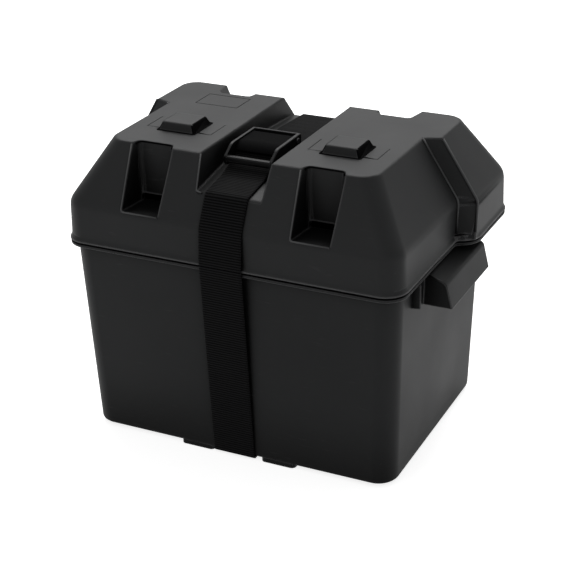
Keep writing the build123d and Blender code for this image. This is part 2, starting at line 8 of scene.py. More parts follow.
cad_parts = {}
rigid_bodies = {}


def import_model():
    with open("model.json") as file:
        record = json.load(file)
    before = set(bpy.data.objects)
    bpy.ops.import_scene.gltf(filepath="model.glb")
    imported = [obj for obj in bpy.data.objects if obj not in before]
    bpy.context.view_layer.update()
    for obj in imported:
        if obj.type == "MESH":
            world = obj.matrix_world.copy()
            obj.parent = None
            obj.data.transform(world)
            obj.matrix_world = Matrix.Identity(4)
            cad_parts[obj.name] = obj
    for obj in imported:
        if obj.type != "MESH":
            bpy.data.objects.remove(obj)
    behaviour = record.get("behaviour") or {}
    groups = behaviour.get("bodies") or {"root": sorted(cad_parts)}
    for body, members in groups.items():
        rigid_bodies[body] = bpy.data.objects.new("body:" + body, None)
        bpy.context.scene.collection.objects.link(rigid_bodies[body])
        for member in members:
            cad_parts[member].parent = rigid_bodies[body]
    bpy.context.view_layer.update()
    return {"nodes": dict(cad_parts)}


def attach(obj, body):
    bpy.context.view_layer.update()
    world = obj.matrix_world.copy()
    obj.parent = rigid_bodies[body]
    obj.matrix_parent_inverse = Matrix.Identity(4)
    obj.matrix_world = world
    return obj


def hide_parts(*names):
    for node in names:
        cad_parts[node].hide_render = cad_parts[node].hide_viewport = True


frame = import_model()
nodes = frame["nodes"]
mm = 0.001
print("frame loaded:", ", ".join(sorted(nodes)))


# camera, lamps and floor
cameraSet = {
    "place": (0.52411, -1.05017, 0.67293),
    "turn": 24.443,
    "tilt": 24.834,
    "roll": -0.591,
    "lens": 92.67,
    "sensor": 36.0,
    "shift": (-0.08, -0.03),
    "far": 40.0,
}

camera = bpy.data.objects.new("camera", bpy.data.cameras.new("camera"))
bpy.context.scene.collection.objects.link(camera)
camera.data.lens = cameraSet["lens"]
camera.data.sensor_width = cameraSet["sensor"]
camera.data.shift_x, camera.data.shift_y = cameraSet["shift"]
camera.data.clip_end = cameraSet["far"]
camera.matrix_world = (
    Matrix.Translation(cameraSet["place"])
    @ Matrix.Rotation(math.radians(cameraSet["turn"]), 4, "Z")
    @ Matrix.Rotation(math.radians(90 - cameraSet["tilt"]), 4, "X")
    @ Matrix.Rotation(math.radians(cameraSet["roll"]), 4, "Z")
)
bpy.context.scene.camera = camera
bpy.context.scene.view_settings.view_transform = "Standard"

lampSet = {
    # name: place, point it faces, width, height, power in watts
    "topLamp": ((-0.45, 1.1, 1.7), (0.0, 0.0, 0.2), 1.6, 1.2, 40.0),
    "sideLamp": ((1.9, 0.5, 0.9), (0.1, 0.0, 0.15), 0.9, 1.2, 2.0),
    "frontLamp": ((-0.4, -2.2, 1.2), (0.0, 0.0, 0.1), 1.4, 1.0, 6.0),
}


def addLamp(name, place, faces, width, height, power):
    lamp = bpy.data.lights.new(name, "AREA")
    lamp.shape = "RECTANGLE"
    lamp.size, lamp.size_y = width, height
    lamp.energy = power
    holder = bpy.data.objects.new(name, lamp)
    bpy.context.scene.collection.objects.link(holder)
    holder.location = place
    way = Vector(faces) - Vector(place)
    holder.rotation_euler = way.to_track_quat("-Z", "Y").to_euler()


for lampName, values in lampSet.items():
    addLamp(lampName, *values)


def seenDirectly(tree):
    # one where a camera, glossy or transmission ray looks, else nought
    path = tree.nodes.new("ShaderNodeLightPath")
    both = tree.nodes.new("ShaderNodeMath")
    both.operation = "MAXIMUM"
    tree.links.new(path.outputs["Is Camera Ray"], both.inputs[0])
    tree.links.new(path.outputs["Is Glossy Ray"], both.inputs[1])
    three = tree.nodes.new("ShaderNodeMath")
    three.operation = "MAXIMUM"
    tree.links.new(both.outputs[0], three.inputs[0])
    tree.links.new(path.outputs["Is Transmission Ray"], three.inputs[1])
    return three.outputs[0]


worldSet = {"ambient": 0.35}
world = bpy.data.worlds.new("studio")
bpy.context.scene.world = world
world.use_nodes = True
worldTree = world.node_tree
worldTree.nodes.clear()
soft = worldTree.nodes.new("ShaderNodeBackground")
soft.inputs["Color"].default_value = (1, 1, 1, 1)
soft.inputs["Strength"].default_value = worldSet["ambient"]
white = worldTree.nodes.new("ShaderNodeBackground")
white.inputs["Color"].default_value = (1, 1, 1, 1)
white.inputs["Strength"].default_value = 1.0
pick = worldTree.nodes.new("ShaderNodeMixShader")
worldTree.links.new(seenDirectly(worldTree), pick.inputs["Fac"])
worldTree.links.new(soft.outputs[0], pick.inputs[1])
worldTree.links.new(white.outputs[0], pick.inputs[2])
worldOut = worldTree.nodes.new("ShaderNodeOutputWorld")
worldTree.links.new(pick.outputs[0], worldOut.inputs["Surface"])

floorSet = {"half": 3.0, "white": 0.8, "glow": 0.78}


def makeFloor():
    half = floorSet["half"]
    mesh = bpy.data.meshes.new("floor")
    corners = [(-half, -half, 0), (half, -half, 0), (half, half, 0), (-half, half, 0)]
    mesh.from_pydata(corners, [], [(0, 1, 2, 3)])
    floor = bpy.data.objects.new("floor", mesh)
    bpy.context.scene.collection.objects.link(floor)
    finish = bpy.data.materials.new("paleFloor")
    finish.use_nodes = True
    tree = finish.node_tree
    tree.nodes.clear()
    paint = tree.nodes.new("ShaderNodeBsdfDiffuse")
    shade = floorSet["white"]
    paint.inputs["Color"].default_value = (shade, shade, shade, 1)
    glow = tree.nodes.new("ShaderNodeEmission")
    glow.inputs["Color"].default_value = (1, 1, 1, 1)
    strength = tree.nodes.new("ShaderNodeMath")
    strength.operation = "MULTIPLY"
    strength.inputs[1].default_value = floorSet["glow"]
    tree.links.new(seenDirectly(tree), strength.inputs[0])
    tree.links.new(strength.outputs[0], glow.inputs["Strength"])
    total = tree.nodes.new("ShaderNodeAddShader")
    tree.links.new(paint.outputs[0], total.inputs[0])
    tree.links.new(glow.outputs[0], total.inputs[1])
    out = tree.nodes.new("ShaderNodeOutputMaterial")
    tree.links.new(total.outputs[0], out.inputs["Surface"])
    mesh.materials.append(finish)


makeFloor()
print("camera, lamps and floor ready")


# node groups for effects that more than one finish uses


def newGroup(name, inputs, outputs):
    group = bpy.data.node_groups.new(name, "ShaderNodeTree")
    for label, kind, value in inputs:
        socket = group.interface.new_socket(label, in_out="INPUT", socket_type=kind)
        if value is not None:
            socket.default_value = value
    for label, kind in outputs:
        group.interface.new_socket(label, in_out="OUTPUT", socket_type=kind)
    start = group.nodes.new("NodeGroupInput")
    end = group.nodes.new("NodeGroupOutput")
    return group, start, end


def link(tree, output, target):
    tree.links.new(output, target)


def mathNode(tree, operation, first, second=None):
    node = tree.nodes.new("ShaderNodeMath")
    node.operation = operation
    for socket, value in zip(node.inputs, (first, second)):
        if isinstance(value, (int, float)):
            socket.default_value = value
        elif value is not None:
            tree.links.new(value, socket)
    return node.outputs[0]


def mouldedGrainGroup():
    # the fine spark-eroded skin of a moulding: its height, and a slow change of shade
    group, start, end = newGroup(
        "mouldedGrain",
        [
            ("Grain Size", "NodeSocketFloat", 1400.0),
            ("Mottle Size", "NodeSocketFloat", 14.0),
            ("Mottle", "NodeSocketFloat", 0.12),
        ],
        [("Height", "NodeSocketFloat"), ("Shade", "NodeSocketFloat"), ("Polish", "NodeSocketFloat")],
    )
    place = group.nodes.new("ShaderNodeTexCoord")
    grain = group.nodes.new("ShaderNodeTexNoise")
    grain.inputs["Detail"].default_value = 3.0
    link(group, place.outputs["Object"], grain.inputs["Vector"])
    link(group, start.outputs["Grain Size"], grain.inputs["Scale"])
    mottle = group.nodes.new("ShaderNodeTexNoise")
    mottle.inputs["Detail"].default_value = 4.0
    link(group, place.outputs["Object"], mottle.inputs["Vector"])
    link(group, start.outputs["Mottle Size"], mottle.inputs["Scale"])
    centred = mathNode(group, "SUBTRACT", mottle.outputs["Fac"], 0.5)
    scaled = mathNode(group, "MULTIPLY", centred, start.outputs["Mottle"])
    shade = mathNode(group, "ADD", scaled, 1.0)
    link(group, grain.outputs["Fac"], end.inputs["Height"])
    link(group, shade, end.inputs["Shade"])
    link(group, scaled, end.inputs["Polish"])
    return group


# size, strength, slope and stretch of the scratches, and the noise levels that they lie between
scuffSet = {
    "scale": 60.0,
    "amount": 0.08,
    "slope": (0.3, 0.5, 0.6),
    "stretch": (1.0, 14.0, 6.0),
    "begins": 0.66,
    "full": 0.78,
}


def scuffGroup():
    # faint long scratches from handling
    values = scuffSet
    group, start, end = newGroup(
        "handlingScuffs",
        [
            ("Scale", "NodeSocketFloat", values["scale"]),
            ("Amount", "NodeSocketFloat", values["amount"]),
        ],
        [("Mask", "NodeSocketFloat")],
    )
    place = group.nodes.new("ShaderNodeTexCoord")
    stretch = group.nodes.new("ShaderNodeMapping")
    stretch.inputs["Rotation"].default_value = values["slope"]
    stretch.inputs["Scale"].default_value = values["stretch"]
    link(group, place.outputs["Object"], stretch.inputs["Vector"])
    lines = group.nodes.new("ShaderNodeTexNoise")
    lines.inputs["Detail"].default_value = 2.0
    link(group, stretch.outputs[0], lines.inputs["Vector"])
    link(group, start.outputs["Scale"], lines.inputs["Scale"])
    ramp = group.nodes.new("ShaderNodeMapRange")
    ramp.inputs["From Min"].default_value = values["begins"]
    ramp.inputs["From Max"].default_value = values["full"]
    link(group, lines.outputs["Fac"], ramp.inputs["Value"])
    mask = mathNode(group, "MULTIPLY", ramp.outputs[0], start.outputs["Amount"])
    link(group, mask, end.inputs["Mask"])
    return group


# painted shade in recesses: how far it looks, its darkest shade, and the occlusion levels between which
# it fades
paintedRecessShadeSet = {"reach": 0.07, "darkest": 0.08, "closed": 0.5, "open": 0.96}


def paintedRecessShadeGroup():
    # painted shade: the colour darkens where ambient occlusion finds pockets and gaps close by
    values = paintedRecessShadeSet
    group, start, end = newGroup(
        "paintedRecessShade",
        [
            ("Distance", "NodeSocketFloat", values["reach"]),
            ("Darkest", "NodeSocketFloat", values["darkest"]),
        ],
        [("Shade", "NodeSocketFloat")],
    )
    reach = group.nodes.new("ShaderNodeAmbientOcclusion")
    reach.samples = 8
    link(group, start.outputs["Distance"], reach.inputs["Distance"])
    ramp = group.nodes.new("ShaderNodeMapRange")
    ramp.inputs["From Min"].default_value = values["closed"]
    ramp.inputs["From Max"].default_value = values["open"]
    link(group, reach.outputs["AO"], ramp.inputs["Value"])
    link(group, start.outputs["Darkest"], ramp.inputs["To Min"])
    link(group, ramp.outputs[0], end.inputs["Shade"])
    return group


# how far the normal has turned, as a cosine, where the painted edge highlight begins and where it is
# full
edgeHighlightSet = {"begins": 0.99, "full": 0.95}


def softEdgeGroup():
    # edges as a mould leaves them: the normal turns round each edge, and there the colour is painted
    # lighter on sideways-facing edges, a highlight that also stands for rubbing wear
    group, start, end = newGroup(
        "softEdge",
        [("Radius", "NodeSocketFloat", 0.0018)],
        [("Normal", "NodeSocketVector"), ("Painted Highlight And Wear", "NodeSocketFloat")],
    )
    turned = group.nodes.new("ShaderNodeBevel")
    turned.samples = 6
    link(group, start.outputs["Radius"], turned.inputs["Radius"])
    flat = group.nodes.new("ShaderNodeNewGeometry")
    along = group.nodes.new("ShaderNodeVectorMath")
    along.operation = "DOT_PRODUCT"
    link(group, turned.outputs["Normal"], along.inputs[0])
    link(group, flat.outputs["Normal"], along.inputs[1])
    ramp = group.nodes.new("ShaderNodeMapRange")
    ramp.inputs["From Min"].default_value = edgeHighlightSet["begins"]
    ramp.inputs["From Max"].default_value = edgeHighlightSet["full"]
    link(group, along.outputs["Value"], ramp.inputs["Value"])
    parts = group.nodes.new("ShaderNodeSeparateXYZ")
    link(group, turned.outputs["Normal"], parts.inputs[0])
    sideways = mathNode(group, "SUBTRACT", 1.0, mathNode(group, "MAXIMUM", parts.outputs["Z"], 0.0))
    link(group, turned.outputs["Normal"], end.inputs["Normal"])
    link(group, mathNode(group, "MULTIPLY", ramp.outputs[0], sideways), end.inputs["Painted Highlight And Wear"])
    return group


grainGroup = mouldedGrainGroup()
softEdge = softEdgeGroup()
recess = paintedRecessShadeGroup()
scuffs = scuffGroup()


def useGroup(tree, group, **values):
    node = tree.nodes.new("ShaderNodeGroup")
    node.node_tree = group
    for label, value in values.items():
        node.inputs[label.replace("_", " ")].default_value = value
    return node


grainDepth = 0.0002
plasticSet = {
    # name: colour, roughness, specular level, grain size, bump, mottle, shade of the painted edge
    # highlight and scuffs, edge radius
    "binPlastic": ((0.018, 0.0185, 0.019), 0.50, 0.075, 1500.0, 0.16, 0.16, 0.09, 0.0015),
    "lidPlastic": ((0.020, 0.0205, 0.021), 0.48, 0.085, 1500.0, 0.16, 0.16, 0.11, 0.0028),
    "buckleFramePlastic": ((0.008, 0.008, 0.0085), 0.42, 0.08, 2600.0, 0.08, 0.10, 0.05, 0.0005),
    # the lever is darker than the frame and reflects almost nothing: painted shade on the lever. The
    # same finish colours the dark tubes and skin of painted shade
    "leverPlastic": ((0.0028, 0.0028, 0.003), 0.60, 0.005, 2600.0, 0.08, 0.12, 0.02, 0.0005),
    # much lighter than the lid: the colour of the light tubes that paint highlights along edges
    "highlightLipPlastic": ((0.075, 0.076, 0.077), 0.45, 0.10, 1500.0, 0.10, 0.30, 0.11, 0.0005),
}


def plastic(name):
    # a moulded plastic: grained, mottled, with painted shade in recesses, lighter where scuffed, and
    # lighter along sideways edges, a painted highlight that also stands for rubbing
    colour, roughness, shine, grainSize, bumpStrength, mottle, highlightAndScuffShade, edgeRadius = plasticSet[name]
    finish = bpy.data.materials.new(name)
    finish.use_nodes = True
    tree = finish.node_tree
    skin = tree.nodes["Principled BSDF"]
    skin.inputs["Specular IOR Level"].default_value = shine
    grain = useGroup(tree, grainGroup, Grain_Size=grainSize, Mottle=mottle)
    marks = useGroup(tree, scuffs)
    tint = tree.nodes.new("ShaderNodeMix")
    tint.data_type = "RGBA"
    tint.blend_type = "MULTIPLY"
    tint.inputs["Factor"].default_value = 1.0
    tint.inputs["A"].default_value = (*colour, 1)
    # painted shade in recesses, multiplied with the mottle
    depth = useGroup(tree, recess)
    shade = mathNode(tree, "MULTIPLY", grain.outputs["Shade"], depth.outputs["Shade"])
    link(tree, shade, tint.inputs["B"])
    # the painted edge highlight, which also stands for rubbing, and the scuffs lighten the colour
    highlightAndScuffs = tree.nodes.new("ShaderNodeMix")
    highlightAndScuffs.data_type = "RGBA"
    highlightAndScuffs.inputs["B"].default_value = (highlightAndScuffShade, highlightAndScuffShade, highlightAndScuffShade * 1.02, 1)
    edges = useGroup(tree, softEdge, Radius=edgeRadius)
    highlightAndScuffMask = mathNode(tree, "MAXIMUM", marks.outputs["Mask"], edges.outputs["Painted Highlight And Wear"])
    link(tree, highlightAndScuffMask, highlightAndScuffs.inputs["Factor"])
    link(tree, tint.outputs["Result"], highlightAndScuffs.inputs["A"])
    link(tree, highlightAndScuffs.outputs["Result"], skin.inputs["Base Color"])
    gloss = mathNode(tree, "SUBTRACT", roughness, grain.outputs["Polish"])
    link(tree, gloss, skin.inputs["Roughness"])
    bump = tree.nodes.new("ShaderNodeBump")
    bump.inputs["Strength"].default_value = bumpStrength
    bump.inputs["Distance"].default_value = grainDepth
    link(tree, grain.outputs["Height"], bump.inputs["Height"])
    link(tree, edges.outputs["Normal"], bump.inputs["Normal"])
    link(tree, bump.outputs[0], skin.inputs["Normal"])
    return finish


def plainMesh(thing):
    # the evaluated result as a mesh of its own, with no modifier left
    graph = bpy.context.evaluated_depsgraph_get()
    mesh = bpy.data.meshes.new_from_object(
        thing.evaluated_get(graph), preserve_all_data_layers=True, depsgraph=graph
    )
    thing.modifiers.clear()
    thing.data = mesh
    return thing


mouldingSet = {
    # node: piece, body, material slot, radius of the edges in mm
    "bin": ("binShell", "base", "bin_plastic", 0.5),
    "lid": ("lidShell", "lid_body", "lid_plastic", 0.8),
    "buckle_frame": ("buckleFrame", "front_strap_body", "buckle_plastic", 0.35),
    "buckle_lever": ("buckleLever", "lever_body", "lever_plastic", 0.35),
}

# in mm: the space round the cable pockets, whose warped side walls keep their sharp edges
pocketSet = {"middle": 76, "reach": 25, "bottom": 195, "top": 262, "nearest": 50}


def besidePocket(edge):
    values = pocketSet
    middle = (edge.verts[0].co + edge.verts[1].co) / 2 / mm
    across = abs(abs(middle.x) - values["middle"]) < values["reach"]
    level = values["bottom"] < middle.z < values["top"]
    return across and level and abs(middle.y) > values["nearest"]


# in mm, apart from the pull: the bead round the lid's foot, and how its rings and bottom move
footSet = {
    "bead": (183.2, 184.3),
    "upper ring above": 183.8,
    "wall level": 187,
    "bead depth": (0.5, 2.6),
    "lower ring pull": 0.79,
    "lower ring drop": 0.8,
    "seam": (183.6, 184.8),
    "weld": 0.3,
    "thinnest": 0.1,
    "bottom below": 178.3,
    "bottom lift": 0.9,
}


def flareFoot(form):
    # the lid's foot widens gently, and a dark joint line shows between it and the rim
    values = footSet

    def inSeam(vert):
        return values["seam"][0] < vert.co.z / mm < values["seam"][1]

    tree = BVHTree.FromBMesh(form)
    low, high = values["bead"]
    shallow, deep = values["bead depth"]
    for vert in form.verts:
        height = vert.co.z / mm
        if low < height < high:
            beside = Vector((vert.co.x, vert.co.y, values["wall level"] * mm))
            spot, normal = tree.find_nearest(beside)[:2]
            away = Vector((vert.co.x - spot.x, vert.co.y - spot.y, 0))
            if shallow * mm < away.length < deep * mm and away.dot(normal) > 0:
                if height > values["upper ring above"]:
                    vert.co -= away
                else:
                    vert.co -= away * values["lower ring pull"]
                    vert.co.z -= values["lower ring drop"] * mm
        elif height < values["bottom below"]:
            vert.co.z += values["bottom lift"] * mm
    # the upper ring now lies on the wall, so the two are joined
    ring = [vert for vert in form.verts if inSeam(vert)]
    bmesh.ops.remove_doubles(form, verts=ring, dist=values["weld"] * mm)
    edges = [edge for edge in form.edges if all(inSeam(vert) for vert in edge.verts)]
    bmesh.ops.dissolve_degenerate(form, dist=values["thinnest"] * mm, edges=edges)


# in mm: the level of the bin's rim, and how far its top sinks below the lid
rimSet = {"top": (177.8, 178.0), "drop": 0.5}


def lowerRim(form):
    low, high = rimSet["top"]
    for vert in form.verts:
        if low < vert.co.z / mm < high:
            vert.co.z -= rimSet["drop"] * mm


# the smallest angle of an eased edge, its length and its faces' width in radii
easeSet = {"angle": 35, "length": 3, "room": 2.4}


def easeEdges(form, radius):
    # only where both faces beside the edge are wide enough for the radius
    def roomFor(edge):
        room = easeSet["room"] * radius
        return all(face.calc_area() / edge.calc_length() > room for face in edge.link_faces)

    sharp = [
        edge for edge in form.edges
        if edge.calc_face_angle(0) > math.radians(easeSet["angle"])
        and edge.calc_length() > easeSet["length"] * radius
        and roomFor(edge) and not besidePocket(edge)
    ]
    bmesh.ops.bevel(
        form, geom=sharp, offset=radius, segments=2, profile=0.5, affect="EDGES", loop_slide=True
    )


# points closer than this in mm are one, and the angles in degrees of flat faces and sharp edges
weldSet = {"distance": 0.002, "flat": 0.05, "sharp": 20}


def easedMoulding(nodeName, finish):
    # a copy of the solid with its sharp edges eased, as a mould leaves them
    name, body, slotName, radius = mouldingSet[nodeName]
    form = bmesh.new()
    form.from_mesh(nodes[nodeName].data)
    bmesh.ops.remove_doubles(form, verts=form.verts, dist=weldSet["distance"] * mm)
    flat = math.radians(weldSet["flat"])
    bmesh.ops.dissolve_limit(form, angle_limit=flat, verts=form.verts, edges=form.edges)
    if nodeName == "lid":
        flareFoot(form)
    if nodeName == "bin":
        lowerRim(form)
    easeEdges(form, radius * mm)
    bmesh.ops.triangulate(form, faces=form.faces)
    mesh = bpy.data.meshes.new(name)
    form.to_mesh(mesh)
    form.free()
    mesh.shade_smooth()
    mesh.set_sharp_from_angle(angle=math.radians(weldSet["sharp"]))
    shell = bpy.data.objects.new(name, mesh)
    bpy.context.scene.collection.objects.link(shell)
    even = shell.modifiers.new("evenShading", "WEIGHTED_NORMAL")
    even.keep_sharp = True
    plainMesh(shell)
    shell.data.materials.append(finish)
    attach(shell, body)
    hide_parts(nodeName)
    print(name, len(shell.data.polygons), "faces")


def newTrim(name, form, finish):
    # the finished form as an object of its own
    mesh = bpy.data.meshes.new(name)
    form.to_mesh(mesh)
    form.free()
    mesh.materials.clear()
    mesh.materials.append(finish)
    trim = bpy.data.objects.new(name, mesh)
    bpy.context.scene.collection.objects.link(trim)
    return trim


rimRibSet = {
    # in mm: its middle across the box, its thickness, where it starts and ends, its two levels,
    # the slant of its foot and its eased edges, with the angle in degrees that stays sharp
    "y": 69.5,
    "thickness": 2.0,
    "wall": 145.4,
    "reach": 153.0,
    "bottom": 154.0,
    "top": 175.2,
    "slant": 0.8,
    "ease": 0.6,
    "sharp": 50,
}


def rimRibs(finish):
    # four thin ribs under the rim, one on each side of both hoods
    values = rimRibSet
    form = bmesh.new()
    for side in (-1, 1):
        for end in (-1, 1):
            made = bmesh.ops.create_cube(form, size=1.0)["verts"]
            for vert in made:
                x = values["reach"] if vert.co.x > 0 else values["wall"]
                z = values["top"] if vert.co.z > 0 else values["bottom"]
                y = values["y"] + vert.co.y * values["thickness"]
                if vert.co.x > 0 and vert.co.z < 0:
                    z += values["slant"]
                vert.co = Vector((x * end, y * side, z)) * mm
    bmesh.ops.recalc_face_normals(form, faces=form.faces)
    outer = [
        edge for edge in form.edges
        if all(abs(vert.co.x) > (values["wall"] + 1) * mm for vert in edge.verts)
    ]
    ease = values["ease"] * mm
    bmesh.ops.bevel(form, geom=outer, offset=ease, segments=2, profile=0.5, affect="EDGES")
    ribsPiece = newTrim("rimRibs", form, finish)
    ribsPiece.data.shade_smooth()
    ribsPiece.data.set_sharp_from_angle(angle=math.radians(values["sharp"]))
    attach(ribsPiece, "base")


binFinish = plastic("binPlastic")
easedMoulding("bin", binFinish)
rimRibs(binFinish)
easedMoulding("lid", plastic("lidPlastic"))


stepSet = {
    # in mm and degrees: the plane of the end step, and the spots its two edges run through
    "y": 15.2,
    "turn": 22.0,
    "lean": 9.9,
    "end": 150.3,
    "level": 178.2,
    "inner": ((119.0, 262.8), (150.0, 212.0), (150.5, 185.0)),
    "inner shift": -0.5,
    "outer": ((133.9, 262.0), (164.4, 211.6), (165.0, 186.0)),
    "outer shift": 0.9,
}


def stepPath(edge):
    # an edge of the end step, from the top of the hump down to the lid's foot
    turn, lean = math.radians(stepSet["turn"]), math.tan(math.radians(stepSet["lean"]))
    spots = []
    for x, z in stepSet[edge]:
        back = math.sin(turn) * (x - stepSet["end"]) + (z - stepSet["level"]) * lean
        shift = stepSet[edge + " shift"]
        spots.append((x, stepSet["y"] + back / math.cos(turn) + shift, z))
    return tuple(spots)


# tubes along edges in mm, light ones painting highlights and dark ones painting shade: body, slot, then
# radius, mirrorings, corner cut and path of each
lipSet = {
    # light tubes along the lid's edges: painted highlights
    "lidLips": ("lid_body", "lid_plastic", (
        # one side and the lower edge of each cable pocket
        (0.75, ((1, 1),), 3.0, ((56.9, -82.6, 262.2), (59.0, -109.3, 212.9), (92.8, -109.3, 212.9))),
        (0.75, ((1, 1),), 3.0, ((-95.1, -82.6, 262.2), (-93.0, -109.3, 212.9), (-59.2, -109.3, 212.9))),
        (0.75, ((1, 1),), 3.0, ((92.6, 71.1, 262.0), (92.8, 109.1, 212.9), (59.2, 109.1, 212.9))),
        (0.75, ((1, 1),), 3.0, ((-59.4, 71.1, 262.0), (-59.2, 109.1, 212.9), (-92.8, 109.1, 212.9))),
        # front and rear corner of the strap valley
        (0.7, ((1, 1),), 2.0, ((-31.3, -82.4, 262.6), (-28.9, -96.6, 236.4), (-24.0, -97.0, 235.6))),
        (0.7, ((1, 1),), 2.0, ((31.3, 71.2, 262.2), (29.7, 85.8, 243.4), (24.0, 86.2, 242.9))),
        # both edges of the step in each end
        (1.4, ((1, 1), (-1, 1)), 4.0, stepPath("inner")),
        (1.5, ((1, 1), (-1, 1)), 4.0, stepPath("outer")),
    )),
    # painted highlights along the front and rear outline of each handle hood
    "hoodLips": ("base", "bin_plastic", (
        (1.1, ((1, 1), (-1, 1), (1, -1), (-1, -1)), 4.0, (
            (147.0, -44.2, 173.4), (164.3, -44.2, 167.5), (169.6, -44.2, 146.8),
        )),
    )),
    # painted shade: a dark tube below the top edge of each front pocket
    "pocketTops": ("lid_body", "lid_plastic", (
        (0.8, ((1, 1), (-1, 1)), 3.0, (
            (59.2, -79.6, 262.0), (60.9, -75.2, 262.8), (91.1, -75.2, 262.8), (92.8, -79.6, 262.0),
        )),
    )),
    # painted shade: a dark tube round the foot of each knob
    "knobSeats": ("lid_body", "lid_plastic", (
        (1.0, ((1, 1), (-1, 1)), 1.5, (
            (60.0, -47.6, 263.2), (91.7, -47.6, 263.2), (91.7, -15.6, 263.2), (56.7, -15.6, 263.2),
            (56.7, -47.6, 263.2), (60.2, -47.6, 263.2),
        )),
    )),
}
bendSteps = 6


def easedPath(spots, cut):
    # the path with each corner cut off at the same distance and bent round
    spots = [Vector(spot) for spot in spots]
    path = [spots[0]]
    for index in range(1, len(spots) - 1):
        before, here, after = spots[index - 1:index + 2]
        begin = here + (before - here).normalized() * cut
        end = here + (after - here).normalized() * cut
        for step in range(bendSteps + 1):
            share = step / bendSteps
            path.append(begin.lerp(here, share).lerp(here.lerp(end, share), share))
    return path + [spots[-1]]


def makeLips(name, finish):
    # one round tube along each path, all joined in one piece
    body, slotName, lips = lipSet[name]
    curves = []
    for radius, mirrorings, cut, spots in lips:
        curve = bpy.data.curves.new(name, "CURVE")
        curve.dimensions = "3D"
        curve.bevel_depth = radius * mm
        curve.bevel_resolution = 2
        curve.use_fill_caps = True
        path = easedPath(spots, cut)
        for alongX, alongY in mirrorings:
            spline = curve.splines.new("POLY")
            spline.points.add(len(path) - 1)
            for point, spot in zip(spline.points, path):
                point.co = (spot.x * alongX * mm, spot.y * alongY * mm, spot.z * mm, 1)
        curves.append(curve)
    form = bmesh.new()
    for curve in curves:
        holder = bpy.data.objects.new(name, curve)
        bpy.context.scene.collection.objects.link(holder)
        graph = bpy.context.evaluated_depsgraph_get()
        graph.update()
        form.from_mesh(holder.evaluated_get(graph).to_mesh())
        bpy.data.objects.remove(holder)
    bmesh.ops.remove_doubles(form, verts=form.verts, dist=weldSet["distance"] * mm)
    bmesh.ops.recalc_face_normals(form, faces=form.faces)
    piece = newTrim(name, form, finish)
    piece.data.shade_smooth()
    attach(piece, body)
    print(name, len(piece.data.polygons), "faces")


# in mm: the knobs' levels above the humps and the thickness of the dark skin of painted shade, with how
# steep an end is
knobSet = {"levels": (263.7, 270.4), "skin": 0.05, "slope": 0.4}


def knobEnds(finish):
    # painted shade on the ends of both knobs: a dark skin just outside the lid's own faces
    form = bmesh.new()
    form.from_mesh(bpy.data.objects[mouldingSet["lid"][0]].data)
    low, high = knobSet["levels"]
    others = [
        face for face in form.faces
        if not low < face.calc_center_median().z / mm < high
        or abs(face.normal.x) < knobSet["slope"]
    ]
    bmesh.ops.delete(form, geom=others, context="FACES")
    form.normal_update()
    for vert in form.verts:
        vert.co += vert.normal * knobSet["skin"] * mm
    piece = newTrim("knobEnds", form, finish)
    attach(piece, "lid_body")
    print("knobEnds", len(piece.data.polygons), "faces")


# light tubes along edges, painted highlights
highlightLipFinish = plastic("highlightLipPlastic")
makeLips("lidLips", highlightLipFinish)
makeLips("hoodLips", highlightLipFinish)
# the lever's finish, used as well for the dark tubes and skin that paint shade
leverAndShadeFinish = plastic("leverPlastic")
makeLips("pocketTops", leverAndShadeFinish)
knobEnds(leverAndShadeFinish)
makeLips("knobSeats", leverAndShadeFinish)
easedMoulding("buckle_frame", plastic("buckleFramePlastic"))
easedMoulding("buckle_lever", leverAndShadeFinish)


# colour, stretch of the turning marks, least roughness and how far it varies
steelSet = {
    "colour": (0.05, 0.05, 0.052, 1),
    "stretch": (300.0, 4000.0, 4000.0),
    "roughness": 0.22,
    "variation": 0.3,
}


def blackSteel():
    finish = bpy.data.materials.new("blackSteel")
    finish.use_nodes = True
    tree = finish.node_tree
    skin = tree.nodes["Principled BSDF"]
    skin.inputs["Base Color"].default_value = steelSet["colour"]
    skin.inputs["Metallic"].default_value = 1.0
    place = tree.nodes.new("ShaderNodeTexCoord")
    turned = tree.nodes.new("ShaderNodeMapping")
    turned.inputs["Scale"].default_value = steelSet["stretch"]
    link(tree, place.outputs["Object"], turned.inputs["Vector"])
    rings = tree.nodes.new("ShaderNodeTexNoise")
    rings.inputs["Scale"].default_value = 1.0
    link(tree, turned.outputs[0], rings.inputs["Vector"])
    uneven = mathNode(tree, "MULTIPLY", rings.outputs["Fac"], steelSet["variation"])
    link(tree, mathNode(tree, "ADD", uneven, steelSet["roughness"]), skin.inputs["Roughness"])
    return finish


pin = nodes["buckle_pin"].data
pin.materials.clear()
pin.materials.append(blackSteel())
print("moulded and metal finishes ready")


# the strap's webbing
webbingSet = {
    # in mm, with the number of columns across and the ribs' shape as shares of their height
    "middle": -1.4,
    "width": 38.1,
    "thickness": 1.4,
    "rows": 0.38,
    "columns": 18,
    "rib pitch": 2.2,
    "rib height": 0.42,
    "rib roundness": 0.6,
    "rib sink": 0.7,
    "edge round": 0.6,
    "edge pull": 0.25,
    "edge level": 0.6,
    "yarn width": 0.55,
}
webbingLook = {
    "colour": (0.011, 0.011, 0.0115, 1),
    "specular": 0.03,
    "sheen": 0.03,
    "sheen roughness": 0.5,
    "roughness": 0.8,
    "bump": 0.35,
    "bump depth": 0.0002,
    "weave depth": 0.25,
    "fuzz size": 6.0,
    "groove sharpness": 2.5,
    "groove": (0.15, 0.85),
    "painted groove shade": 0.08,
    "least tint": 0.6,
    "tint variation": 0.8,
}

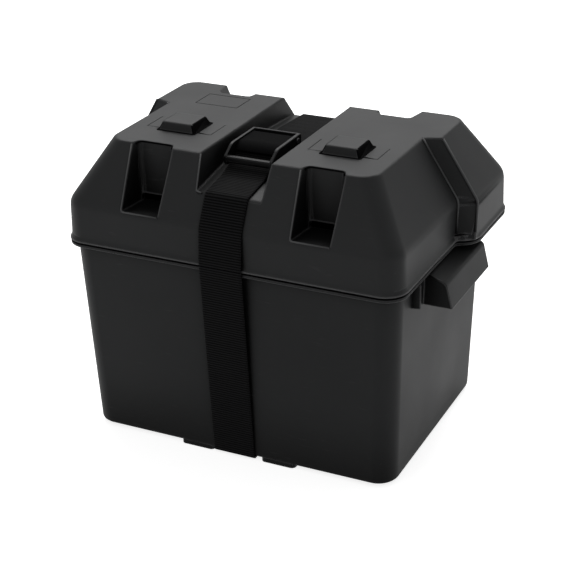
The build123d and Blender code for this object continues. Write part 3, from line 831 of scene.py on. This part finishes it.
# centre lines of the stretches, in mm across the box (y, z), with the radius of each bend
webbingRoutes = {
    "strap_under": [
        (-113.45, 179.85, 0), (-102.40, 1.90, 3.2), (102.40, 1.90, 3.2), (113.45, 179.85, 0),
    ],
    "strap_front": [
        (-113.45, 180.15, 0), (-113.45, 185.20, 30), (-110.86, 212.13, 19.1), (-97.37, 236.93, 6.1),
        (-70.0, 241.35, 10), (-60.0, 245.20, 10), (-50.0, 247.90, 10), (-35.10, 247.90, 2.87),
        (-35.10, 255.65, 2.87), (-46.50, 249.60, 10), (-53.50, 249.60, 0),
    ],
    "strap_tail": [(-31.0, 249.5, 0), (-4.8, 249.5, 0)],
    "strap_rear": [
        (-4.5, 249.5, 0), (10.0, 246.69, 10), (36.0, 247.10, 10), (85.94, 244.41, 6.1),
        (110.62, 212.46, 8), (113.45, 185.20, 30), (113.45, 180.15, 0),
    ],
}


def roundedRoute(corners, step):
    # the route with its corners rounded, as points about a step apart
    runs = []
    last = Vector(corners[0][:2])
    for index in range(1, len(corners) - 1):
        before = Vector(corners[index - 1][:2])
        here = Vector(corners[index][:2])
        after = Vector(corners[index + 1][:2])
        wayIn, wayOut = (here - before).normalized(), (after - here).normalized()
        turn = wayIn.angle_signed(wayOut)
        radius = corners[index][2]
        cut = radius * math.tan(abs(turn) / 2)
        begin = here - wayIn * cut
        runs.append(("line", last, begin))
        runs.append(("arc", begin, wayIn, -turn, radius))
        last = here + wayOut * cut
    runs.append(("line", last, Vector(corners[-1][:2])))
    points = []
    for run in runs:
        if run[0] == "line":
            length = (run[2] - run[1]).length
            count = max(1, round(length / step))
            points += [run[1].lerp(run[2], i / count) for i in range(count)]
        else:
            begin, way, turn, radius = run[1:]
            side = Vector((-way.y, way.x)) * math.copysign(1, turn)
            centre = begin + side * radius
            count = max(2, round(abs(turn) * radius / step))
            for i in range(count):
                angle = turn * i / count
                arm = -side
                spun = Vector(
                    (
                        arm.x * math.cos(angle) - arm.y * math.sin(angle),
                        arm.x * math.sin(angle) + arm.y * math.cos(angle),
                    )
                )
                points.append(centre + spun * radius)
    points.append(Vector(corners[-1][:2]))
    return points


def webbingBand(name, corners):
    # a plain closed band along the route, with the length along it kept for the ribs
    values = webbingSet
    route = roundedRoute(corners, values["rows"])
    half = values["width"] / 2
    thick = values["thickness"] / 2
    columns = values["columns"]
    bend = values["edge round"]
    flat = values["width"] - 2 * bend
    pull, level = bend * values["edge pull"], thick * values["edge level"]
    upper = [(-half + bend + flat * i / columns, thick) for i in range(columns + 1)]
    upper += [(half - pull, level), (half, 0.0), (half - pull, -level)]
    ring = upper + [(-across, -up) for across, up in upper]
    verts, along = [], []
    total = 0.0
    for row, point in enumerate(route):
        ahead = route[min(row + 1, len(route) - 1)]
        behind = route[max(row - 1, 0)]
        if row:
            total += (point - route[row - 1]).length
        way = (ahead - behind).normalized()
        out = Vector((-way.y, way.x))
        for across, up in ring:
            spot = point + out * up
            verts.append(((values["middle"] + across) * mm, spot.x * mm, spot.y * mm))
            along.append(total)
    size = len(ring)
    faces = []
    for row in range(len(route) - 1):
        for i in range(size):
            a, b = row * size + i, row * size + (i + 1) % size
            faces.append((a, b, b + size, a + size))
    faces.append(tuple(reversed(range(size))))
    faces.append(tuple(range((len(route) - 1) * size, len(route) * size)))
    mesh = bpy.data.meshes.new(name)
    mesh.from_pydata(verts, [], faces)
    lengthSoFar = mesh.attributes.new("alongStrap", "FLOAT", "POINT")
    lengthSoFar.data.foreach_set("value", along)
    layer = mesh.uv_layers.new(name="weave")
    acrossOf = [across for across, up in ring] * len(route)
    for loop in mesh.loops:
        v = loop.vertex_index
        layer.data[loop.index].uv = (acrossOf[v], along[v])
    mesh.update()
    band = bpy.data.objects.new(name, mesh)
    bpy.context.scene.collection.objects.link(band)
    return band


def ribTree():
    # raises a rib at every pitch along the band
    tree = bpy.data.node_groups.new("webbingRibs", "GeometryNodeTree")
    for label, kind, value in (
        ("Geometry", "NodeSocketGeometry", None),
        ("Rib Pitch", "NodeSocketFloat", webbingSet["rib pitch"]),
        ("Rib Height", "NodeSocketFloat", webbingSet["rib height"]),
        ("Material", "NodeSocketMaterial", None),
    ):
        socket = tree.interface.new_socket(label, in_out="INPUT", socket_type=kind)
        if value is not None:
            socket.default_value = value
    tree.interface.new_socket("Geometry", in_out="OUTPUT", socket_type="NodeSocketGeometry")
    start = tree.nodes.new("NodeGroupInput")
    end = tree.nodes.new("NodeGroupOutput")
    along = tree.nodes.new("GeometryNodeInputNamedAttribute")
    along.data_type = "FLOAT"
    along.inputs["Name"].default_value = "alongStrap"
    turns = mathNode(tree, "DIVIDE", along.outputs["Attribute"], start.outputs["Rib Pitch"])
    wave = mathNode(tree, "SINE", mathNode(tree, "MULTIPLY", turns, math.pi))
    crest = mathNode(tree, "POWER", mathNode(tree, "ABSOLUTE", wave), webbingSet["rib roundness"])
    centred = mathNode(tree, "SUBTRACT", crest, webbingSet["rib sink"])
    lift = mathNode(tree, "MULTIPLY", centred, start.outputs["Rib Height"])
    normal = tree.nodes.new("GeometryNodeInputNormal")
    push = tree.nodes.new("ShaderNodeVectorMath")
    push.operation = "SCALE"
    tree.links.new(normal.outputs[0], push.inputs[0])
    tree.links.new(mathNode(tree, "MULTIPLY", lift, mm), push.inputs["Scale"])
    move = tree.nodes.new("GeometryNodeSetPosition")
    tree.links.new(start.outputs["Geometry"], move.inputs["Geometry"])
    tree.links.new(push.outputs[0], move.inputs["Offset"])
    real = tree.nodes.new("GeometryNodeRealizeInstances")
    tree.links.new(move.outputs[0], real.inputs[0])
    dye = tree.nodes.new("GeometryNodeSetMaterial")
    tree.links.new(real.outputs[0], dye.inputs["Geometry"])
    tree.links.new(start.outputs["Material"], dye.inputs["Material"])
    tree.links.new(dye.outputs[0], end.inputs[0])
    return tree


def webbingFinish():
    # the band's own length and width carry the weave: yarns along it, ribs across it
    look = webbingLook
    finish = bpy.data.materials.new("blackWebbing")
    finish.use_nodes = True
    tree = finish.node_tree
    skin = tree.nodes["Principled BSDF"]
    skin.inputs["Specular IOR Level"].default_value = look["specular"]
    skin.inputs["Sheen Weight"].default_value = look["sheen"]
    skin.inputs["Sheen Roughness"].default_value = look["sheen roughness"]
    skin.inputs["Roughness"].default_value = look["roughness"]
    uv = tree.nodes.new("ShaderNodeUVMap")
    uv.uv_map = "weave"
    split = tree.nodes.new("ShaderNodeSeparateXYZ")
    link(tree, uv.outputs[0], split.inputs[0])

    def wave(output, halfLength):
        # a sine along one of the band's two ways, with nought at every half length
        turns = mathNode(tree, "MULTIPLY", output, math.pi / halfLength)
        return mathNode(tree, "SINE", turns)

    # warp yarns lie side by side and cross over each rib in turn
    yarn = wave(split.outputs["X"], webbingSet["yarn width"])
    rib = wave(split.outputs["Y"], webbingSet["rib pitch"] / 2)
    weave = mathNode(tree, "MULTIPLY", yarn, rib)
    fuzz = tree.nodes.new("ShaderNodeTexNoise")
    fuzz.inputs["Scale"].default_value = look["fuzz size"]
    fuzz.inputs["Detail"].default_value = 4.0
    link(tree, uv.outputs[0], fuzz.inputs["Vector"])
    crossing = mathNode(tree, "MULTIPLY", weave, look["weave depth"])
    height = mathNode(tree, "ADD", crossing, fuzz.outputs["Fac"])
    bump = tree.nodes.new("ShaderNodeBump")
    bump.inputs["Strength"].default_value = look["bump"]
    bump.inputs["Distance"].default_value = look["bump depth"]
    link(tree, height, bump.inputs["Height"])
    link(tree, bump.outputs[0], skin.inputs["Normal"])
    # painted shade: the gaps between the ribs are darker
    groove = mathNode(tree, "ABSOLUTE", wave(split.outputs["Y"], webbingSet["rib pitch"]))
    ramp = tree.nodes.new("ShaderNodeMapRange")
    ramp.inputs["From Min"].default_value, ramp.inputs["From Max"].default_value = look["groove"]
    ramp.inputs["To Min"].default_value = look["painted groove shade"]
    link(tree, mathNode(tree, "POWER", groove, look["groove sharpness"]), ramp.inputs["Value"])
    varied = mathNode(tree, "MULTIPLY", fuzz.outputs["Fac"], look["tint variation"])
    uneven = mathNode(tree, "ADD", varied, look["least tint"])
    tint = tree.nodes.new("ShaderNodeMix")
    tint.data_type = "RGBA"
    tint.blend_type = "MULTIPLY"
    tint.inputs["Factor"].default_value = 1.0
    tint.inputs["A"].default_value = look["colour"]
    link(tree, mathNode(tree, "MULTIPLY", ramp.outputs[0], uneven), tint.inputs["B"])
    link(tree, tint.outputs["Result"], skin.inputs["Base Color"])
    return finish


webbing = webbingFinish()
ribs = ribTree()
webbingBodies = {
    "strap_under": "base",
    "strap_front": "front_strap_body",
    "strap_tail": "front_strap_body",
    "strap_rear": "rear_strap_body",
}
for nodeName, corners in webbingRoutes.items():
    band = webbingBand("webbing_" + nodeName, corners)
    modifier = band.modifiers.new("ribs", "NODES")
    modifier.node_group = ribs
    for item in ribs.interface.items_tree:
        if item.in_out == "INPUT" and item.name == "Material":
            modifier[item.identifier] = webbing
    band = plainMesh(band)
    band.data.shade_smooth()
    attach(band, webbingBodies[nodeName])
    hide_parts(nodeName)
print("webbing ready")
